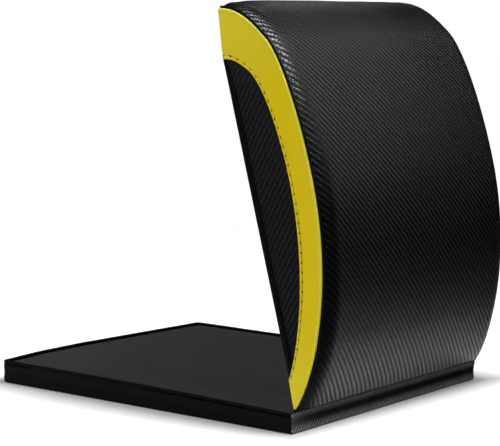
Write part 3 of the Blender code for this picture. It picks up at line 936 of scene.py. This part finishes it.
def make_hem(side, name):
    """The narrow smooth hem along the base, inside the band's window."""
    first = WINDOW_BOW.at(WINDOW_BOW.rising(HEM_HEIGHT), -GAP)[0]
    last = WINDOW_BOW.at(WINDOW_BOW.falling(HEM_TIP_HEIGHT), -GAP)[0]
    low_first = WINDOW_BOW.points[0][0] + GAP * 1.5
    low_last = WINDOW_BOW.points[-1][0] - GAP * 1.5
    share = np.linspace(0, 1, 150)
    top_along = first + (last - first) * share
    taper = ramp(top_along, last, -HEM_TAPER)
    top_up = HEM_TIP_HEIGHT + (HEM_HEIGHT - HEM_TIP_HEIGHT) * taper
    low_along = low_first + (low_last - low_first) * share
    rows = np.array(HEM_ROWS)[:, None]
    along = low_along + (top_along - low_along) * rows
    up = top_up * rows
    flat = stacked(along, up)
    lift = np.array(HEM_PROFILE)[:, None] * HEM_THICK + wave(flat, *HEM_WAVE)
    front = in_arch(side * (BAND_FRONT + lift), along, up)
    back = in_arch(side * BAND_BACK, along, up)
    hem = solid("base_hem_" + name, plain_vinyl, front, back, flat)
    dress(hem, "arch", "smooth_cloth", "hem_strip_" + name)


def make_base_cover():
    """The cloth under the arch, with a raised seam inside its border."""
    half = PANEL_MIDDLE - COVER / 2 - GAP
    end = ARCH_LENGTH + BASE_OVERLAP
    x, along = np.meshgrid(half * to_edges(81), (to_edges(101) + 1) / 2 * end)
    up = base_height(along)
    flat = stacked(x, along)
    border = np.minimum(half - np.abs(x), np.minimum(along, end - along))
    sag = wave(flat, *BASE_WAVE) * ramp(border, 0, 0.01) + swell(border, *BASE_BORDER)
    front = in_arch(x, along, up + np.maximum(sag, 0.0))
    back = in_arch(x, along, up + COVER)
    cover = solid("arch_base_cloth", pad_cloth, front, back, flat)
    dress(cover, "arch", "smooth_cloth", "arch_base_cover")


# The pad


def pad_crown(x, y):
    across = 1 - np.abs(x / HALF_WIDTH) ** PAD_CROWN_POWER
    along = 1 - np.abs(y / HALF_LENGTH) ** PAD_CROWN_POWER
    return PAD_CROWN * across * along


def pad_lift(x, y):
    """How much higher the stuffed pad's edge stands than its fold side, at places near the edge."""
    share = (x + HALF_WIDTH) / WIDTH
    left, right = (np.interp(y, *zip(*lifts)) for lifts in (LEFT_LIFTS, RIGHT_LIFTS))
    far = np.interp(x, *zip(*FAR_LIFTS))
    beyond = ramp(y, FAR_LIFT_FROM, HALF_LENGTH - FAR_LIFT_FROM)
    return (1 - beyond) * (left + (right - left) * share) + beyond * far


def pad_outline(inset, end_inset, corner=14):
    """The pad's outline in plan, from its left end at the fold round the far end and back."""
    straight = 110
    radius = max(PAD_CORNER - inset, GAP)
    half, far = HALF_WIDTH - inset, HALF_LENGTH - inset
    near = end_inset - HALF_LENGTH
    left = [(-half, y) for y in np.linspace(near, far - radius, straight, endpoint=False)]
    points = list(left)
    for side, first in ((-1, math.pi), (1, math.pi / 2)):
        if side > 0:
            points += [(x, far) for x in np.linspace(-half + radius, half - radius, straight)[1:-1]]
        for angle in first - np.linspace(0, math.pi / 2, corner):
            x = side * (half - radius) + radius * math.cos(angle)
            points.append((x, far - radius + radius * math.sin(angle)))
    points += [(half, y) for _, y in left[::-1]]
    return np.array(points)


def pad_top_detail(x, y):
    """Wrinkles of the top cloth, mostly in patches near the arch's foot."""
    flat = stacked(x, y)
    patches = swell(y + HALF_LENGTH, *NEAR_FOLD) * ramp(wave(flat, *PATCH_WAVE), *PATCH_RAMP)
    slant = x * 0.8 + y
    return wave(flat, *PAD_WAVE) + (puckers(slant, flat, *PAD_PUCKER) - 1) * patches


def make_pad_cushion():
    """The pad's top and stuffing: crowned, drawn in at the binding and behind the end wall."""
    near = CUSHION_NEAR - HALF_LENGTH
    far = HALF_LENGTH - TOP_COVER_INSET + CUSHION_TUCK
    half = HALF_WIDTH - TOP_COVER_INSET + CUSHION_TUCK
    ys = (near + far) / 2 + (far - near) / 2 * to_edges(111)
    x, y = np.meshgrid(half * to_edges(91), ys)
    border = np.minimum(half - np.abs(x), np.minimum(y - near, far - y))
    room = LIFT_UNDER_ARCH + base_height(y - AXIS_Y - ARCH_SETBACK)
    lift = np.minimum(np.maximum(pad_lift(x, y) - BINDING_PROUD, 0), room)
    detail = pad_top_detail(x, y) * ramp(border, 0, CUSHION_BORDER)
    fall = swell(border, *CUSHION_FALL)
    top_z = TOP_COVER_Z + CUSHION_FULL + pad_crown(x, y) + detail - fall + lift
    drawn_in = CUSHION_DRAW * ramp(y, near + DRAW_REACH, -DRAW_REACH)
    top = stacked(x, y, top_z)
    bottom = stacked(x, y + drawn_in, np.full_like(x, COVER + GAP))
    cushion = solid("pad_cushion", pad_cloth, top, bottom, stacked(x, y))
    dress(cushion, "pad", "smooth_cloth", "pad_top_cover", "pad_foam")


def make_pad_binding():
    """The rolled binding round three sides of the pad's top, pinched by its seams."""
    around = 18
    plan = pad_outline(PAD_PIPING_RADIUS, COVER + BINDING_SETBACK, 16)
    path = np.column_stack([plan, PAD_HEIGHT - PAD_PIPING_RADIUS + pad_lift(*plan.T)])
    angles = circle(around)
    from_seam = (angles - SEAM_ANGLE + math.pi) % (2 * math.pi) - math.pi
    pinch = swell(from_seam, *BINDING_PINCH)
    radius = PAD_PIPING_RADIUS - PIPING_SLIM + wave(path, *BINDING_WAVE)[:, None] - pinch
    binding = tube("pad_binding", plain_vinyl, path, (0.0, 0.0, 1.0), radius, around)
    dress(binding, "pad", "smooth_vinyl", "pad_top_piping")


def wall_heights(top, count):
    """Heights up a wall of the pad, closer together round its rolled foot."""
    roll = WALL_FOOT + (WALL_ROLL - WALL_FOOT) * np.linspace(0, 1, 8)[:-1] ** 1.5
    return np.concatenate([roll, np.linspace(WALL_ROLL, top, count)])


def wall_roll(height):
    """How far a wall is rolled under at this height."""
    return WALL_ROLL - np.sqrt(WALL_ROLL**2 - np.maximum(WALL_ROLL - height, 0) ** 2)


def make_pad_side_wall():
    """The smooth wall round three sides, rolled under at the floor and drawn in at mid-height."""
    end_inset = COVER + 2 * GAP
    heights = wall_heights(WALL_TOP, 14)
    front, back, walks = [], [], []
    for height in heights:
        share = ramp(height, WALL_ROLL, WALL_TOP - WALL_ROLL)
        inset = wall_roll(height) + WALL_DRAW * np.sin(math.pi * share) ** 2
        outline = pad_outline(inset, end_inset)
        inner = pad_outline(inset + COVER, end_inset)
        risen = height + pad_lift(*outline.T) * (height - WALL_FOOT) / (WALL_TOP - WALL_FOOT)
        front.append(np.column_stack([outline, risen]))
        back.append(np.column_stack([inner, risen]))
        walks.append(walk_along(outline))
    front, back, walks = np.array(front), np.array(back), np.array(walks)
    uv = stacked(walks, np.broadcast_to(heights[:, None], walks.shape))
    out = front - back
    out /= np.linalg.norm(out, axis=2)[..., None]
    fade = np.sin(math.pi * ramp(heights, WALL_FOOT, WALL_TOP - WALL_FOOT))[:, None]
    front = front + out * (wave(uv, *SIDE_WALL_WAVE) * fade)[..., None]
    wall = solid("pad_side_skin", plain_vinyl, front, back, uv)
    dress(wall, "pad", "smooth_vinyl", "pad_side_wall")


def right_lip(share):
    """How far the fold's right end stands out beside the side wall."""
    return END_WALL_LIP * np.maximum(share, 0) ** LIP_POWER


def make_pad_end_wall():
    """The embossed wall at the fold, drawn in at mid-height and lapping the side wall's end."""
    share, height = np.meshgrid(to_edges(121), wall_heights(END_WALL_TOP, 18))
    inset = smoothed(np.interp(height, END_WALL_HEIGHTS, END_WALL_INSETS))
    inset = inset * (1 - FLATTER_ENDS * np.abs(share) ** FLATTER_POWER)
    half = HALF_WIDTH - 0.8 * wall_roll(height) - END_WALL_GAP
    x = share * half + right_lip(share) * (height / END_WALL_TOP) ** 2
    flat = stacked(x, height)
    wobble = wave(flat, *END_WALL_WAVE) * np.sin(math.pi * ramp(height, 0, END_WALL_TOP))
    front = stacked(x, inset + wobble - HALF_LENGTH, height)
    back = front + np.array([0.0, COVER, 0.0])
    wall = solid("pad_end_skin", wall_vinyl, front, back, flat * np.array([-1.0, 1.0]))
    # Painted sheen on the wall: most at its foot and more to the right, less along its top, some at
    # its left end
    low = ramp(height, *FOOT_PAINTED_SHEEN) * (0.7 + 0.3 * (share + 1) / 2)
    high = 0.6 * ramp(height, *TOP_PAINTED_SHEEN)
    add_shares(wall, "painted_wall_sheen", low + high + swell(share, *LEFT_PAINTED_SHEEN))
    dress(wall, "pad", "woven_look_vinyl", "pad_hinge_wall")


def make_pad_underside():
    """The embossed cover under the pad, with a seam that stands its border up a little."""
    half_x, half_y = HALF_WIDTH - UNDERSIDE_INSET, HALF_LENGTH - UNDERSIDE_INSET
    x, y = np.meshgrid(half_x * to_edges(41), half_y * to_edges(49))
    border = np.minimum(half_x - np.abs(x), half_y - np.abs(y))
    front = stacked(x, y, swell(border, *UNDER_BORDER))
    back = stacked(x, y, np.full_like(x, COVER))
    sheet = solid("pad_underside_skin", woven_vinyl, front, back, stacked(x, y))
    dress(sheet, "pad", "woven_look_vinyl", "pad_underside_cover")


# The fold


def make_fold():
    """The cloth between the face's foot and the pad's end wall."""
    first = FACE_BOW.rising(FACE_FOOT)
    foot_stand = float(face_depth(first)) * (ROLL_MIDDLE + ROLL_HEIGHT)
    foot = in_arch(0.0, *FACE_BOW.at(first, foot_stand))[1:]
    knots = np.array([
        foot + (0.0012, 0.0012),
        foot + (0.0009, -0.0001),
        foot + (0.0009, -0.0006),
        (AXIS_Y - 0.0004, END_WALL_TOP + 0.0005),
        (AXIS_Y - 0.0007, END_WALL_TOP + 0.0003),
        (AXIS_Y + 0.0004, END_WALL_TOP + 0.0004),
    ])
    steps = np.linspace(0, len(knots) - 1, STRIP_ROWS)
    line = [np.interp(steps, np.arange(len(knots)), knots[:, i]) for i in (0, 1)]
    line = smoothed(smoothed(stacked(*line)))
    share, row = np.meshgrid(to_edges(121), np.arange(STRIP_ROWS))
    x = FOLD_HALF * share + right_lip(share)
    flat = stacked(x, first - walk_along(line)[row])
    round_in = ROUND_IN * np.abs(share) ** ROUND_POWER
    y = line[row][..., 0] + wave(flat, *STRIP_WAVE) + round_in
    front = stacked(x, y, line[row][..., 1])
    strip = solid("fold_strip", wall_vinyl, front, front + np.array(STRIP_THICK), flat)
    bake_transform(strip)
    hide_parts("fold_cord")


# The stage, the lamps and the camera


def floor_glow(nodes):
    """How white the stage shows to the camera, and to glossy rays only low and behind the mat,
    dimmed to a painted shadow towards the mat's foot.
    """
    path = nodes.add("ShaderNodeLightPath").outputs
    is_camera = path["Is Camera Ray"]
    seen = nodes.math("MAXIMUM", is_camera, path["Is Glossy Ray"])
    seen = nodes.math("MAXIMUM", seen, path["Is Transmission Ray"])
    place = nodes.add("ShaderNodeTexCoord").outputs["Object"]
    x, y, z = nodes.split(place)
    beside = nodes.math("SUBTRACT", nodes.math("ABSOLUTE", x), HALF_WIDTH)
    beyond = nodes.math("SUBTRACT", nodes.math("ABSOLUTE", y), HALF_LENGTH)
    distance = nodes.math("MAXIMUM", nodes.times(beside, SIDE_SHARE), beyond)
    # Painted shadow: the glow dims towards the mat's foot, over a shorter reach for glossy rays
    near = nodes.span(distance, *PAINTED_SHADOW_REACH, SHADOWED_FOOT_GLOW, NEAR_GLOW)
    mirrored = nodes.span(distance, *MIRRORED_SHADOW_REACH, SHADOWED_FOOT_GLOW, NEAR_GLOW)
    near = nodes.mix(is_camera, mirrored, near)
    far = nodes.span(distance, *FAR_REACH, 0.0, 1.0 - NEAR_GLOW)
    forward = nodes.add("ShaderNodeVectorMath", {"operation": "DOT_PRODUCT"}, Vector=place)
    forward.inputs[1].default_value = FRONT_WAY
    behind = nodes.span(forward.outputs["Value"], *BEHIND_FADE, 1.0, 0.0)
    low = nodes.span(z, *MIRROR_TOP, 1.0, 0.0)
    shown = nodes.math("MAXIMUM", nodes.times(behind, low), is_camera)
    return nodes.times(seen, nodes.times(nodes.math("ADD", near, far), shown))


def make_stage():
    """A plain pale floor that keeps the mat's shadow, with a painted shadow where its glow dims at
    the mat's foot, in a round pale wall.
    """
    nodes = Nodes("pale_floor")
    nodes.finish((FLOOR_LEVEL, FLOOR_LEVEL, FLOOR_LEVEL, 1.0), 0.9, Specular_IOR_Level=0.0)
    white = (1.0, 1.0, 1.0, 1.0)
    light = nodes.add("ShaderNodeEmission", Color=white, Strength=floor_glow(nodes))
    both = nodes.add("ShaderNodeAddShader")
    nodes.put(both.inputs[0], nodes.shader.outputs[0])
    nodes.put(both.inputs[1], light.outputs[0])
    output = next(n for n in nodes.tree.nodes if n.type == "OUTPUT_MATERIAL")
    nodes.put(output.inputs["Surface"], both.outputs[0])

    turns = circle(RING_SIDES)
    ring = (FLOOR_REACH * stacked(np.cos(turns), np.sin(turns))).tolist()
    points = [(x, y, z) for z in (0.0, WALL_HEIGHT) for x, y in ring]
    sides = []
    for i in range(RING_SIDES):
        after = (i + 1) % RING_SIDES
        sides.append((i, after, RING_SIDES + after, RING_SIDES + i))
    mesh = bpy.data.meshes.new("floor")
    mesh.from_pydata(points, [], [tuple(range(RING_SIDES))] + sides)
    make_object("floor", mesh, nodes.material)


def direction(azimuth, elevation):
    """The way from the mat at this azimuth from its front and this elevation, in degrees."""
    turn, rise = math.radians(azimuth), math.radians(elevation)
    return Vector((
        math.sin(turn) * math.cos(rise), -math.cos(turn) * math.cos(rise), math.sin(rise)
    ))


def add_softbox(name, azimuth, elevation, distance, size, level, spread, aim=LIT_MIDDLE):
    """A square soft light in this direction from aim, with a grid that narrows its beam."""
    back = direction(azimuth, elevation) * distance
    data = bpy.data.lights.new(name, "AREA")
    data.shape = "SQUARE"
    data.size = size
    data.energy = level * math.pi * size**2
    data.spread = math.radians(spread)
    lamp = bpy.data.objects.new(name, data)
    lamp.location = Vector(aim) + back
    lamp.rotation_euler = back.to_track_quat("Z", "Y").to_euler()
    bpy.context.scene.collection.objects.link(lamp)


def make_world():
    world = bpy.data.worlds.new("studio")
    world.use_nodes = True
    level = (WORLD_LEVEL, WORLD_LEVEL, WORLD_LEVEL, 1.0)
    world.node_tree.nodes["Background"].inputs["Color"].default_value = level
    bpy.context.scene.world = world


def make_camera():
    data = bpy.data.cameras.new("camera")
    data.lens = CAMERA_LENS
    camera = bpy.data.objects.new("camera", data)
    camera.location = CAMERA_AT
    ahead = -direction(*CAMERA_WAY)
    camera.rotation_euler = ahead.to_track_quat("-Z", "Y").to_euler()
    bpy.context.scene.collection.objects.link(camera)
    bpy.context.scene.camera = camera


make_face()
for side, side_name in ((-1, "left"), (1, "right")):
    for make_piece in (
        make_face_piping, make_side_panel, make_side_band, make_band_stitches, make_hem
    ):
        make_piece(side, side_name)
make_base_cover()
make_pad_cushion()
make_pad_binding()
make_pad_side_wall()
make_pad_end_wall()
make_pad_underside()
make_fold()

make_stage()
for name, settings in SOFTBOXES.items():
    add_softbox(name, *settings)
make_world()
make_camera()

bpy.context.scene.view_settings.view_transform = "Standard"
